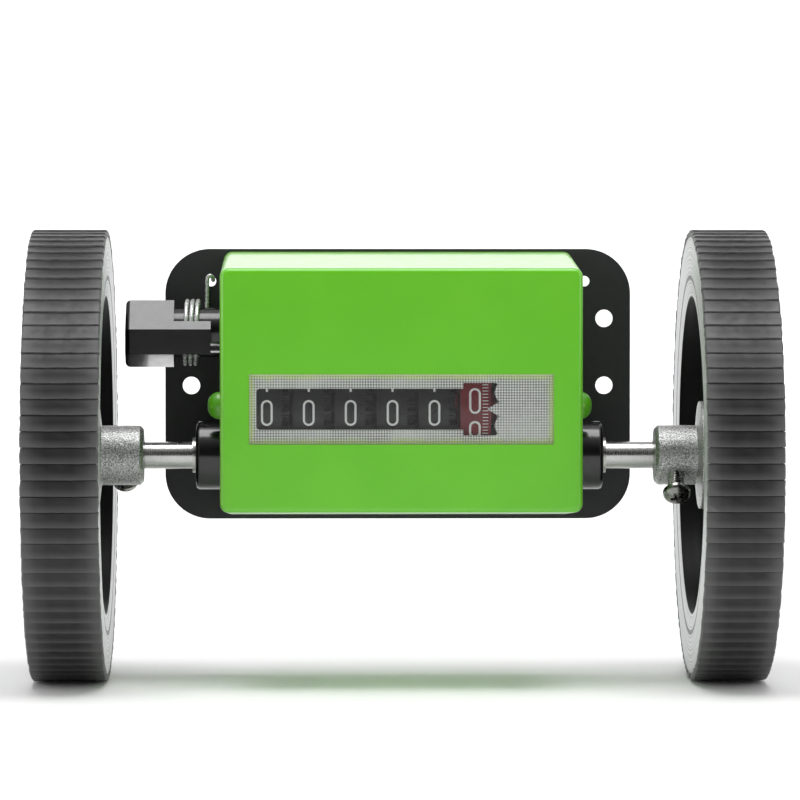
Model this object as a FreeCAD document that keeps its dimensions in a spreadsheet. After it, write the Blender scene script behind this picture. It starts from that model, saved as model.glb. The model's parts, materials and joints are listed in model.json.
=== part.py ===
import FreeCAD, Part
import math
import os

import Sketcher

# A roller-type length counter: two rubber-tyred wheels on one axle turn a five-digit
# number-wheel counter inside a green cover, and the whole thing bolts to a machine by its
# back plate. +X runs along the axle, +Y points back towards the plate and +Z is up.
# The origin is on the axle's axis, midway between the two wheels. All sizes are in mm.

DRIVING = {
    # wheels: three turns of a 106 mm tyre are one metre of travel
    "tyre_radius": 53.0,
    "tyre_thickness": 1.3,
    "tread_bars": 90,
    "tread_groove": 0.55,
    "tread_depth": 0.7,
    "wheel_inner_face": 68.4,
    "wheel_width": 17.4,
    "rim_edge_chamfer": 0.5,
    "rim_land_radius": 41.8,
    "rim_bevel_radius": 37.3,
    "rim_bevel_depth": 0.4,
    "web_radius": 36.5,
    "web_depth": 5.6,
    "web_thickness": 4.0,
    "hub_radius": 7.0,
    "hub_inner_end": 60.0,
    "hub_chamfer": 0.8,
    "hub_flange_radius": 12.7,
    "hub_flange_face": 69.3,
    "hub_flange_cone": 0.7,
    "hub_outer_reach": 2.5,
    # set screws that clamp the hubs on the axle
    "screw_station": 64.7,
    "screw_thread_radius": 2.0,
    "screw_head_radius": 3.2,
    "screw_head_height": 2.4,
    "screw_thread_shown": 3.6,
    "screw_recess_width": 0.9,
    "screw_recess_length": 3.6,
    "screw_recess_depth": 1.2,
    "right_screw_angle": 225.0,
    "left_screw_angle": 330.0,
    # axle and its bearings
    "axle_radius": 3.2,
    "axle_end": 81.5,
    "running_gap": 0.05,
    "housing_radius": 8.1,
    "housing_outer_end": 47.7,
    "housing_edge": 1.0,
    "housing_spigot_radius": 6.0,
    "bush_radius": 4.5,
    "ring_radius": 4.2,
    "ring_width": 0.75,
    # back plate
    "plate_front": 17.5,
    "plate_thickness": 2.0,
    "plate_length": 111.0,
    "plate_low": -15.8,
    "plate_high": 48.6,
    "plate_corner": 10.7,
    "bolt_hole_radius": 2.1,
    "bolt_spacing_x": 98.6,
    "bolt_spacing_z": 16.0,
    "bolt_centre_z": 24.0,
    "hook_hole_radius": 1.25,
    "hook_hole_x": 44.6,
    "hook_hole_z": 40.9,
    # side frames that carry the shafts
    "ear_inner_x": 36.5,
    "ear_thickness": 2.0,
    "ear_front": -23.0,
    "ear_low": -10.0,
    "ear_high": 36.0,
    "ear_corner": 6.0,
    "foot_reach": 10.0,
    "rivet_radius": 1.5,
    "rivet_head_radius": 2.8,
    "rivet_head_height": 1.0,
    "rivet_x": 31.0,
    "rivet_low_z": -4.0,
    "rivet_high_z": 30.0,
    # cover
    "cover_half_width": 41.5,
    "cover_front": -31.5,
    "cover_front_low": -12.0,
    "cover_front_high": 43.8,
    "cover_back_low": -14.8,
    "cover_back_high": 47.9,
    "cover_wall": 1.5,
    "cover_side_corner": 2.0,
    "cover_front_edge": 1.2,
    "axle_slot_radius": 8.3,
    "knob_opening_radius": 6.4,
    "knob_collar_radius": 8.4,
    "knob_collar_height": 0.7,
    "cover_screw_y": -8.5,
    "cover_screw_z": 11.9,
    "cover_screw_radius": 1.5,
    "cover_screw_head_radius": 3.2,
    "cover_screw_head_height": 3.3,
    "cover_screw_reach": 35.5,
    # counter window
    "window_length": 69.7,
    "window_height": 16.1,
    "window_gap": 0.1,
    "lens_recess": 0.2,
    "lens_flange": 1.8,
    "lens_flange_thickness": 0.5,
    "mask_thickness": 0.3,
    "slot_left": -33.2,
    "slot_right": 14.2,
    "slot_half_height": 4.7,
    "tenths_right": 21.9,
    "tenths_half_height": 6.0,
    "pointer_tip": 19.6,
    "pointer_half_height": 1.7,
    # number wheels
    "counter_y": -16.5,
    "counter_z": 11.6,
    "number_radius": 12.2,
    "number_pitch": 9.6,
    "number_half_width": 3.5,
    "number_rim": 1.6,
    "number_web": 2.0,
    "number_hub_radius": 4.0,
    "number_hub_half": 4.7,
    "tenths_x": 17.1,
    "counter_shaft_radius": 2.0,
    "number_gear_width": 1.6,
    "number_gear_teeth": 20,
    "number_gear_module": 1.0,
    "pinion_teeth": 8,
    "pinion_width": 2.0,
    "pinion_offset": 3.8,
    "pinion_direction": 95.0,
    "pinion_mesh_gap": 0.1,
    "pinion_shaft_radius": 1.25,
    # gear train from the axle to the tenths wheel, 3 to 1 down
    "train_module": 0.8,
    "drive_teeth": 14,
    "idler_large_teeth": 28,
    "idler_small_teeth": 14,
    "counter_teeth": 21,
    "gear_width": 3.0,
    "counter_gear_x": 22.0,
    "drive_gear_x": 26.5,
    "drive_hub_radius": 5.5,
    "drive_hub_length": 4.5,
    "idler_hub_radius": 4.0,
    "idler_stud_radius": 2.0,
    "stud_head_radius": 3.2,
    "stud_head_height": 1.0,
    # tooth shape, in modules
    "tooth_tip": 0.8,
    "tooth_root": 1.15,
    "tip_half": 0.40,
    "pitch_half": 0.69,
    "root_half": 0.94,
    # reset knob
    "reset_y": 9.0,
    "reset_z": 28.8,
    "reset_shaft_radius": 2.5,
    "knob_outer_end": 64.4,
    "knob_body_end": 53.0,
    "knob_sleeve_end": 39.0,
    "knob_sleeve_radius": 5.9,
    "knob_tongue_end": 44.3,
    "knob_tongue_thickness": 1.9,
    "knob_front": -10.0,
    "knob_back": 7.6,
    "knob_top": 7.6,
    "knob_bottom": -8.1,
    "knob_front_top": 0.8,
    "knob_front_bottom": -5.1,
    "knob_slope_top": -3.2,
    "knob_slope_bottom": -6.5,
    "knob_back_corner": 4.0,
    "knob_edge": 1.2,
    "comb_left": -35.5,
    "comb_right": 21.0,
    "comb_radius": 4.0,
    "hammer_length": 13.0,
    "hammer_width": 3.0,
    "hammer_thickness": 2.0,
    # return spring between the knob and the plate
    "spring_wire_radius": 0.5,
    "spring_radius": 7.45,
    "spring_pitch": 1.92,
    "spring_turns": 3.25,
    "spring_start": 51.32,
    "spring_tail": 1.5,
    "spring_leg_bend": 1.3,
}

BLACK_WHEELS = 5
AXLE_X = FreeCAD.Vector(1, 0, 0)
PLANE_ROLES = {"front": "XZ_Plane", "side": "YZ_Plane", "top": "XY_Plane"}


def idler_centre(size):
    """Where the idler's stud stands: at both gear centre distances, above the axle."""
    first = size["train_module"] * (size["drive_teeth"] + size["idler_large_teeth"]) / 2
    second = size["train_module"] * (size["idler_small_teeth"] + size["counter_teeth"]) / 2
    span = math.hypot(size["counter_y"], size["counter_z"])
    along = (first**2 - second**2 + span**2) / (2 * span)
    across = math.sqrt(first**2 - along**2)
    y = (along * size["counter_y"] + across * size["counter_z"]) / span
    z = (along * size["counter_z"] - across * size["counter_y"]) / span
    return y, z


def pinion_centre(size):
    """Where the pinion shaft stands: one gear centre distance up and back from the wheels."""
    teeth = size["number_gear_teeth"] + size["pinion_teeth"]
    distance = size["number_gear_module"] * teeth / 2 + size["pinion_mesh_gap"]
    angle = math.radians(size["pinion_direction"])
    y = size["counter_y"] + distance * math.cos(angle)
    z = size["counter_z"] + distance * math.sin(angle)
    return y, z


def direction(from_yz, to_yz):
    """Angle in the YZ plane, in degrees, from one axis to another."""
    return math.degrees(math.atan2(to_yz[1] - from_yz[1], to_yz[0] - from_yz[0]))


def worked_out(size):
    """Sizes that follow from the driving ones."""
    axle = (0.0, 0.0)
    counter = (size["counter_y"], size["counter_z"])
    idler = idler_centre(size)
    pinion = pinion_centre(size)
    to_idler = direction(axle, idler)
    to_counter = direction(idler, counter)
    to_pinion = direction(counter, pinion)
    return {
        "idler_y": idler[0],
        "idler_z": idler[1],
        "pinion_y": pinion[0],
        "pinion_z": pinion[1],
        # a tooth of one gear stands in a gap of the next
        "drive_phase": to_idler,
        "idler_large_phase": to_idler + 180 + 180 / size["idler_large_teeth"],
        "idler_small_phase": to_counter,
        "counter_phase": to_counter + 180 + 180 / size["counter_teeth"],
        "number_phase": to_pinion,
        "pinion_phase": to_pinion + 180 + 180 / size["pinion_teeth"],
    }


def make_sheet(document, sizes):
    """One row per size: its name, then its value under the same alias."""
    sheet = document.addObject("Spreadsheet::Sheet", "sizes")
    for row, (alias, value) in enumerate(sizes.items(), start=1):
        sheet.set(f"A{row}", alias)
        sheet.set(f"B{row}", f"{value:.6f}")
        sheet.setAlias(f"B{row}", alias)
    document.recompute()
    return sheet


SIZES = dict(DRIVING)
SIZES.update(worked_out(DRIVING))
doc = FreeCAD.newDocument("length_counter")
SHEET = make_sheet(doc, SIZES)
PARTS = []


def cell(name):
    """The number that the sheet holds for a size."""
    return float(SHEET.get(name))


def bound(text):
    """Turn the size names in a formula into references to the sheet's cells."""
    words = []
    word = ""
    for letter in text + " ":
        if letter.isalnum() or letter == "_":
            word += letter
            continue
        words.append(f"sizes.{word}" if word in SIZES else word)
        words.append(letter)
        word = ""
    return "".join(words).strip()


def bind(item, **formulas):
    """Bind properties of an object to formulas in the sheet's sizes."""
    for name, formula in formulas.items():
        item.setExpression(name.replace("__", "."), bound(formula))


def keep(item, label):
    """Register an object as one of the sub-parts, under its own label."""
    item.Label = label
    PARTS.append(item)
    return item


def new_body(label, place=None):
    """An empty PartDesign body, moved to a place given as formulas for x, y and z."""
    body = doc.addObject("PartDesign::Body", label)
    for letter, formula in (place or {}).items():
        body.setExpression(f".Placement.Base.{letter}", bound(formula))
    return keep(body, label)


def new_sketch(body, plane, offset="0"):
    """A sketch on one of the body's origin planes, moved along the plane's normal."""
    sketch = body.newObject("Sketcher::SketchObject", f"{body.Name}_outline")
    for feature in body.Origin.OriginFeatures:
        if feature.Role == PLANE_ROLES[plane]:
            sketch.AttachmentSupport = (feature, "")
    sketch.MapMode = "FlatFace"
    sketch.setExpression(".AttachmentOffset.Base.z", bound(offset))
    return sketch


def fix_point(sketch, geometry, point, across, up):
    """Tie a point of the sketch to two formulas, measured from the sketch's origin."""
    for kind, formula in (("DistanceX", across), ("DistanceY", up)):
        index = sketch.addConstraint(Sketcher.Constraint(kind, -1, 1, geometry, point, 1.0))
        sketch.renameConstraint(index, f"size{index}")
        sketch.setExpression(f"Constraints.size{index}", bound(formula))


def add_outline(sketch, corners):
    """A closed straight-sided outline through corners given as pairs of formulas."""
    count = len(corners)
    rough = []
    for i in range(count):
        turn = 2 * math.pi * i / count
        rough.append(FreeCAD.Vector(10 * math.cos(turn), 10 * math.sin(turn), 0))
    first = sketch.GeometryCount
    for i in range(count):
        sketch.addGeometry(Part.LineSegment(rough[i], rough[(i + 1) % count]), False)
    for i in range(count):
        after = first + (i + 1) % count
        sketch.addConstraint(Sketcher.Constraint("Coincident", first + i, 2, after, 1))
    for i, (across, up) in enumerate(corners):
        fix_point(sketch, first + i, 1, across, up)


def add_circle(sketch, across, up, radius):
    """A circle whose centre and radius are formulas."""
    circle = Part.Circle(FreeCAD.Vector(1, 1, 0), FreeCAD.Vector(0, 0, 1), 1.0)
    geometry = sketch.addGeometry(circle, False)
    fix_point(sketch, geometry, 3, across, up)
    index = sketch.addConstraint(Sketcher.Constraint("Radius", geometry, 1.0))
    sketch.renameConstraint(index, f"size{index}")
    sketch.setExpression(f"Constraints.size{index}", bound(radius))


def add_pad(body, sketch, length, both_ways=False, backwards=False):
    """Raise a sketch into a solid."""
    pad = body.newObject("PartDesign::Pad", f"{body.Name}_pad")
    pad.Profile = sketch
    pad.SideType = "Symmetric" if both_ways else "One side"
    pad.Reversed = backwards
    bind(pad, Length=length)
    doc.recompute()
    return pad


def add_pocket(body, sketch, length, both_ways=False, backwards=False):
    """Cut a sketch out of a solid, and make sure that it did cut."""
    before = body.Shape.Volume
    pocket = body.newObject("PartDesign::Pocket", f"{body.Name}_pocket")
    pocket.Profile = sketch
    pocket.SideType = "Symmetric" if both_ways else "One side"
    pocket.Reversed = backwards
    bind(pocket, Length=length)
    doc.recompute()
    if body.Shape.Volume >= before:
        raise RuntimeError(f"{pocket.Name} cuts nothing")
    return pocket


def add_turned(body, corners):
    """A turned solid about the body's own X axis, from (along, radius) corners."""
    sketch = new_sketch(body, "top")
    add_outline(sketch, corners)
    turned = body.newObject("PartDesign::Revolution", f"{body.Name}_turned")
    turned.Profile = sketch
    turned.ReferenceAxis = (sketch, ["H_Axis"])
    turned.Angle = 360
    doc.recompute()
    return turned


def add_polar(body, feature, count):
    """Repeat a feature around the body's own X axis."""
    pattern = body.newObject("PartDesign::PolarPattern", f"{body.Name}_ring")
    pattern.Originals = [feature]
    for axis in body.Origin.OriginFeatures:
        if axis.Role == "X_Axis":
            pattern.Axis = (axis, [""])
    pattern.Angle = 360
    bind(pattern, Occurrences=count)
    body.Tip = pattern
    doc.recompute()
    return pattern


def add_fillet(body, radius, wanted):
    """Round the body's edges for which wanted(edge) is true."""
    tip = body.Tip
    names = [f"Edge{i}" for i, edge in enumerate(tip.Shape.Edges, start=1) if wanted(edge)]
    if not names:
        raise RuntimeError(f"no edges to round on {body.Label}")
    fillet = body.newObject("PartDesign::Fillet", f"{body.Name}_fillet")
    fillet.Base = (tip, names)
    bind(fillet, Radius=radius)
    doc.recompute()
    return fillet


def at_station(letter, place, slack=0.01):
    """A test for edges that lie wholly at one coordinate."""
    def test(edge):
        low = getattr(edge.BoundBox, f"{letter}Min")
        high = getattr(edge.BoundBox, f"{letter}Max")
        return abs(low - place) < slack and abs(high - place) < slack
    return test


def runs_along(letter, shortest):
    """A test for straight edges that run along one axis and are long enough."""
    def test(edge):
        return getattr(edge.BoundBox, f"{letter}Length") > shortest
    return test


def turned_part(label, corners, place=None):
    """A sub-part that is simply turned."""
    body = new_body(label, place)
    add_turned(body, corners)
    return body


def ring_corners(start, end, inner, outer):
    """The corners of a plain ring or, when its bore is 0, a plain rod."""
    return [(start, inner), (end, inner), (end, outer), (start, outer)]


def add_teeth(body, start, width, module, teeth, phase):
    """A ring of straight-flanked teeth round the body's own X axis."""
    def level(height, half):
        reach = f"({module} * ({teeth} / 2 + {height}))"
        across = f"({module} * {half})"
        turn = f"({phase}) * 1 deg"
        left = (f"{reach} * cos({turn}) - {across} * sin({turn})",
                f"{reach} * sin({turn}) + {across} * cos({turn})")
        right = (f"{reach} * cos({turn}) + {across} * sin({turn})",
                 f"{reach} * sin({turn}) - {across} * cos({turn})")
        return left, right

    tip = level("tooth_tip", "tip_half")
    pitch = level("0", "pitch_half")
    root = level("(-tooth_root)", "root_half")
    foot = level("(-tooth_root - 0.25)", "root_half")
    sketch = new_sketch(body, "side", start)
    add_outline(sketch, [foot[0], root[0], pitch[0], tip[0], tip[1], pitch[1], root[1], foot[1]])
    tooth = add_pad(body, sketch, width)
    add_polar(body, tooth, teeth)


def root_radius(module, teeth):
    """Formula for the radius that the teeth stand on."""
    return f"{module} * ({teeth} / 2 - tooth_root)"


# ---------------------------------------------------------------- back plate and side frames

def make_base_plate():
    body = new_body("base_plate")
    sketch = new_sketch(body, "front", "-plate_front")
    half = "plate_length / 2"
    add_outline(sketch, [(f"-{half}", "plate_low"), (half, "plate_low"),
                         (half, "plate_high"), (f"-{half}", "plate_high")])
    add_pad(body, sketch, "plate_thickness", backwards=True)
    add_fillet(body, "plate_corner", runs_along("Y", 1.0))
    holes = new_sketch(body, "front", "-plate_front")
    for side in ("-", ""):
        for level in ("-", "+"):
            add_circle(holes, f"{side}bolt_spacing_x / 2",
                       f"bolt_centre_z {level} bolt_spacing_z / 2", "bolt_hole_radius")
        add_circle(holes, f"{side}hook_hole_x", "hook_hole_z", "hook_hole_radius")
        for height in ("rivet_low_z", "rivet_high_z"):
            add_circle(holes, f"{side}rivet_x", height, "rivet_radius")
    add_pocket(body, holes, "plate_thickness", backwards=False)


def make_side_frame(side, sign):
    """An ear that carries the shafts, with a foot riveted to the plate."""
    body = new_body(f"{side}_side_frame")
    start = "ear_inner_x" if sign > 0 else "-ear_inner_x - ear_thickness"
    sketch = new_sketch(body, "side", start)
    add_outline(sketch, [("ear_front", "ear_low"), ("plate_front", "ear_low"),
                         ("plate_front", "ear_high"), ("ear_front", "ear_high")])
    add_pad(body, sketch, "ear_thickness")
    corner = at_station("Y", DRIVING["ear_front"])
    add_fillet(body, "ear_corner", lambda edge: corner(edge) and edge.BoundBox.XLength > 1)
    foot = new_sketch(body, "front", "-plate_front")
    near = "ear_inner_x" if sign > 0 else "-ear_inner_x"
    far = "ear_inner_x - foot_reach" if sign > 0 else "-ear_inner_x + foot_reach"
    add_outline(foot, [(near, "ear_low"), (far, "ear_low"), (far, "ear_high"), (near, "ear_high")])
    add_pad(body, foot, "ear_thickness")
    bores = new_sketch(body, "side", start)
    add_circle(bores, "0", "0", "housing_spigot_radius")
    add_circle(bores, "counter_y", "counter_z", "counter_shaft_radius")
    add_circle(bores, "pinion_y", "pinion_z", "pinion_shaft_radius")
    add_circle(bores, "reset_y", "reset_z", "reset_shaft_radius + running_gap")
    add_circle(bores, "cover_screw_y", "cover_screw_z", "cover_screw_radius")
    if sign > 0:
        add_circle(bores, "idler_y", "idler_z", "idler_stud_radius")
    add_pocket(body, bores, "ear_thickness", backwards=True)
    rivets = new_sketch(body, "front", "-plate_front")
    for height in ("rivet_low_z", "rivet_high_z"):
        add_circle(rivets, "rivet_x" if sign > 0 else "-rivet_x", height, "rivet_radius")
    add_pocket(body, rivets, "ear_thickness", backwards=True)


def make_frame_rivets():
    """Four rivets, flush at the back of the plate, headed on the feet of the frames."""
    rivets = []
    for side in (-1, 1):
        for level in ("low", "high"):
            name = f"rivet_{level}_{'left' if side < 0 else 'right'}"
            shank = doc.addObject("Part::Cylinder", f"{name}_shank")
            head = doc.addObject("Part::Cylinder", f"{name}_head")
            bind(shank, Radius="rivet_radius", Height="plate_thickness + ear_thickness")
            bind(head, Radius="rivet_head_radius", Height="rivet_head_height")
            for piece, back in ((shank, "plate_front + plate_thickness"),
                                (head, "plate_front - ear_thickness")):
                piece.Placement.Rotation = FreeCAD.Rotation(AXLE_X, 90)
                bind(piece, Placement__Base__x=f"{side} * rivet_x", Placement__Base__y=back,
                     Placement__Base__z=f"rivet_{level}_z")
            rivet = doc.addObject("Part::Fuse", name)
            rivet.Base = shank
            rivet.Tool = head
            rivets.append(rivet)
    group = doc.addObject("Part::Compound", "frame_rivets")
    group.Links = rivets
    keep(group, "frame_rivets")


# ---------------------------------------------------------------- cover and window

def make_cover():
    """A box, open at the back, whose top and bottom walls spread towards the plate."""
    body = new_body("cover")
    outer = new_sketch(body, "side")
    add_outline(outer, [("cover_front", "cover_front_low"), ("plate_front", "cover_back_low"),
                        ("plate_front", "cover_back_high"), ("cover_front", "cover_front_high")])
    add_pad(body, outer, "2 * cover_half_width", both_ways=True)
    add_fillet(body, "cover_side_corner", runs_along("Y", 20.0))
    add_fillet(body, "cover_front_edge", at_station("Y", DRIVING["cover_front"]))
    inner = new_sketch(body, "side")
    add_outline(inner, [
        ("cover_front + cover_wall", "cover_front_low + cover_wall"),
        ("plate_front", "cover_back_low + cover_wall"),
        ("plate_front", "cover_back_high - cover_wall"),
        ("cover_front + cover_wall", "cover_front_high - cover_wall")])
    add_pocket(body, inner, "2 * (cover_half_width - cover_wall)", both_ways=True)
    window = new_sketch(body, "front", "-cover_front")
    half = "window_length / 2"
    low = "counter_z - window_height / 2"
    high = "counter_z + window_height / 2"
    add_outline(window, [(f"-{half}", low), (half, low), (half, high), (f"-{half}", high)])
    add_pocket(body, window, "cover_wall")
    collar = new_sketch(body, "side", "-cover_half_width")
    add_circle(collar, "reset_y", "reset_z", "knob_collar_radius")
    add_pad(body, collar, "knob_collar_height", backwards=True)
    for name, circle in (("slot", ("0", "0", "axle_slot_radius")),
                         ("screws", ("cover_screw_y", "cover_screw_z", "cover_screw_radius"))):
        hole = new_sketch(body, "side")
        add_circle(hole, *circle)
        add_pocket(body, hole, "2 * cover_half_width + 4", both_ways=True)
    slot = new_sketch(body, "side")
    add_outline(slot, [("0", "-axle_slot_radius"), ("plate_front", "-axle_slot_radius"),
                       ("plate_front", "axle_slot_radius"), ("0", "axle_slot_radius")])
    add_pocket(body, slot, "2 * cover_half_width + 4", both_ways=True)
    opening = new_sketch(body, "side", "-cover_half_width + cover_wall")
    add_circle(opening, "reset_y", "reset_z", "knob_opening_radius")
    add_pocket(body, opening, "cover_wall + knob_collar_height", backwards=False)


def make_cover_screws():
    """A domed screw through each side of the cover into the frame behind it."""
    screws = []
    for sign in (-1, 1):
        name = "cover_screw_left" if sign < 0 else "cover_screw_right"
        shank = doc.addObject("Part::Cylinder", f"{name}_shank")
        head = doc.addObject("Part::Cylinder", f"{name}_head")
        bind(shank, Radius="cover_screw_radius", Height="cover_half_width - cover_screw_reach")
        bind(head, Radius="cover_screw_head_radius", Height="cover_screw_head_height")
        for piece, start in ((shank, "cover_screw_reach"), (head, "cover_half_width")):
            piece.Placement.Rotation = FreeCAD.Rotation(FreeCAD.Vector(0, 1, 0), 90 * sign)
            bind(piece, Placement__Base__x=f"{sign} * {start}",
                 Placement__Base__y="cover_screw_y", Placement__Base__z="cover_screw_z")
        dome = doc.addObject("Part::Fillet", f"{name}_dome")
        dome.Base = head
        doc.recompute()
        radius = DRIVING["cover_screw_head_radius"] * 0.85
        crown = sign * (DRIVING["cover_half_width"] + DRIVING["cover_screw_head_height"])
        top = at_station("X", crown)
        dome.Edges = [(i, radius, radius)
                      for i, edge in enumerate(head.Shape.Edges, start=1) if top(edge)]
        screw = doc.addObject("Part::Fuse", name)
        screw.Base = shank
        screw.Tool = dome
        screws.append(screw)
    group = doc.addObject("Part::Compound", "cover_screws")
    group.Links = screws
    keep(group, "cover_screws")


def make_window_lens():
    """Clear insert that fills the window, with a flange behind the cover's front wall."""
    body = new_body("window_lens")
    for grow, front, depth in (
            ("-window_gap", "cover_front + lens_recess", "cover_wall - lens_recess"),
            ("lens_flange", "cover_front + cover_wall", "lens_flange_thickness")):
        half = f"(window_length / 2 + {grow})"
        low = f"counter_z - window_height / 2 - {grow}"
        high = f"counter_z + window_height / 2 + {grow}"
        sketch = new_sketch(body, "front", f"-({front})")
        add_outline(sketch, [(f"-{half}", low), (half, low), (half, high), (f"-{half}", high)])
        add_pad(body, sketch, depth, backwards=True)


def make_window_mask():
    """Thin silvered sheet behind the lens, open over the digits, with the pointer."""
    body = new_body("window_mask")
    front = "-(cover_front + cover_wall + lens_flange_thickness)"
    sketch = new_sketch(body, "front", front)
    half = "(window_length / 2 + lens_flange)"
    low = "counter_z - window_height / 2 - lens_flange"
    high = "counter_z + window_height / 2 + lens_flange"
    add_outline(sketch, [(f"-{half}", low), (half, low), (half, high), (f"-{half}", high)])
    add_pad(body, sketch, "mask_thickness", backwards=True)
    opening = new_sketch(body, "front", front)
    add_outline(opening, [
        ("slot_left", "counter_z - slot_half_height"),
        ("slot_right", "counter_z - slot_half_height"),
        ("slot_right", "counter_z - tenths_half_height"),
        ("tenths_right", "counter_z - tenths_half_height"),
        ("tenths_right", "counter_z - pointer_half_height"),
        ("pointer_tip", "counter_z"),
        ("tenths_right", "counter_z + pointer_half_height"),
        ("tenths_right", "counter_z + tenths_half_height"),
        ("slot_right", "counter_z + tenths_half_height"),
        ("slot_right", "counter_z + slot_half_height"),
        ("slot_left", "counter_z + slot_half_height")])
    add_pocket(body, opening, "mask_thickness")


# ---------------------------------------------------------------- axle, bearings and wheels

def mirrored(sign, corners):
    """Corners of a turned part for the right side, or mirrored for the left."""
    if sign > 0:
        return corners
    return [(f"-({along})", radius) for along, radius in corners]


def make_bearing(side, sign):
    """Plastic housing on the ear, a bush in it, and the ring that keeps the axle in place."""
    ear_outer = "ear_inner_x + ear_thickness"
    housing = turned_part(f"{side}_bearing_housing", mirrored(sign, [
        ("ear_inner_x", "bush_radius"), ("housing_outer_end", "bush_radius"),
        ("housing_outer_end", "housing_radius"), (ear_outer, "housing_radius"),
        (ear_outer, "housing_spigot_radius"), ("ear_inner_x", "housing_spigot_radius")]))
    rim = at_station("X", sign * DRIVING["housing_outer_end"])
    widest = DRIVING["housing_radius"]
    add_fillet(housing, "housing_edge",
               lambda edge: rim(edge) and edge.BoundBox.ZMax > widest - 0.1)
    turned_part(f"{side}_axle_bush", mirrored(sign, ring_corners(
        "ear_inner_x", "housing_outer_end", "axle_radius + running_gap", "bush_radius")))
    ring_start = "housing_outer_end + running_gap"
    turned_part(f"{side}_retaining_ring", mirrored(sign, ring_corners(
        ring_start, f"{ring_start} + ring_width", "axle_radius", "ring_radius")))


def make_axle_shaft():
    body = turned_part("axle_shaft", ring_corners("-axle_end", "axle_end", "0", "axle_radius"))
    return body


def make_rim(side, sign):
    """Cast wheel: a deep rim with a bevelled recess on both faces and a solid web."""
    inner = "wheel_inner_face"
    outer = "wheel_inner_face + wheel_width"
    seat = "(tyre_radius - tyre_thickness)"
    web_near = "wheel_inner_face + web_depth"
    web_far = "wheel_inner_face + web_depth + web_thickness"
    turned_part(f"{side}_rim", mirrored(sign, [
        (inner, "rim_land_radius"), (inner, f"{seat} - rim_edge_chamfer"),
        (f"{inner} + rim_edge_chamfer", seat), (f"{outer} - rim_edge_chamfer", seat),
        (outer, f"{seat} - rim_edge_chamfer"), (outer, "rim_land_radius"),
        (f"{outer} - rim_bevel_depth", "rim_bevel_radius"), (web_far, "web_radius"),
        (web_far, "hub_radius"), (web_near, "hub_radius"), (web_near, "web_radius"),
        (f"{inner} + rim_bevel_depth", "rim_bevel_radius")]))


def make_tyre(side, sign):
    """Thin rubber band with a groove between each pair of cross bars."""
    inner = "wheel_inner_face"
    outer = "wheel_inner_face + wheel_width"
    seat = "(tyre_radius - tyre_thickness)"
    body = turned_part(f"{side}_tyre", mirrored(sign, ring_corners(
        inner, outer, seat, "tyre_radius")))
    start = "wheel_inner_face" if sign > 0 else "-wheel_inner_face - wheel_width"
    groove = new_sketch(body, "side", start)
    half = "tread_groove / 2"
    add_outline(groove, [("tyre_radius - tread_depth", f"-{half}"), ("tyre_radius + 1", f"-{half}"),
                         ("tyre_radius + 1", half), ("tyre_radius - tread_depth", half)])
    cut = add_pocket(body, groove, "wheel_width", backwards=True)
    add_polar(body, cut, "tread_bars")


def screw_direction(side):
    """Unit vector from the axle out along the side's set screw."""
    angle = math.radians(DRIVING[f"{side}_screw_angle"])
    return FreeCAD.Vector(0, math.cos(angle), math.sin(angle))


def make_hub(side, sign):
    """Sand-cast hub: its neck takes the set screw and its flange seats on the web."""
    seat = "wheel_inner_face + web_depth"
    end = "wheel_inner_face + web_depth + web_thickness + hub_outer_reach"
    body = turned_part(f"{side}_hub", mirrored(sign, [
        ("hub_inner_end", "axle_radius"), (end, "axle_radius"), (end, "hub_radius"),
        (seat, "hub_radius"), (seat, "hub_flange_radius"),
        ("hub_flange_face + hub_flange_cone", "hub_flange_radius"),
        ("hub_flange_face", "hub_radius"), ("hub_inner_end + hub_chamfer", "hub_radius"),
        ("hub_inner_end", "hub_radius - hub_chamfer")]))
    thread = new_sketch(body, "top")
    station = "screw_station" if sign > 0 else "-screw_station"
    add_circle(thread, station, "0", "screw_thread_radius")
    turn = DRIVING[f"{side}_screw_angle"] - 90
    thread.AttachmentOffset = FreeCAD.Placement(
        FreeCAD.Vector(0, 0, 0), FreeCAD.Rotation(AXLE_X, turn))
    add_pocket(body, thread, "hub_radius + 1", backwards=True)


def make_set_screw(side, sign):
    """Round-head cross-recess screw whose tip bears on the axle."""
    body = new_body(f"{side}_set_screw")
    head_start = "hub_radius + screw_thread_shown"
    add_turned(body, [
        ("axle_radius", "0"), (f"{head_start} + screw_head_height", "0"),
        (f"{head_start} + screw_head_height", "screw_head_radius"),
        (head_start, "screw_head_radius"), (head_start, "screw_thread_radius"),
        ("axle_radius", "screw_thread_radius")])
    crown = DRIVING["hub_radius"] + DRIVING["screw_thread_shown"] + DRIVING["screw_head_height"]
    add_fillet(body, "screw_head_height * 0.75", at_station("X", crown))
    half_width = "screw_recess_width / 2"
    half_length = "screw_recess_length / 2"
    for across, up in ((half_width, half_length), (half_length, half_width)):
        recess = new_sketch(body, "side", f"{head_start} + screw_head_height")
        add_outline(recess, [(f"-{across}", f"-{up}"), (across, f"-{up}"),
                             (across, up), (f"-{across}", up)])
        add_pocket(body, recess, "screw_recess_depth")
    point = FreeCAD.Rotation(AXLE_X, screw_direction(side))
    body.Placement = FreeCAD.Placement(
        FreeCAD.Vector(sign * DRIVING["screw_station"], 0, 0), point)
    body.setExpression(".Placement.Base.x", bound(f"{sign} * screw_station"))


# ---------------------------------------------------------------- gear train

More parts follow.
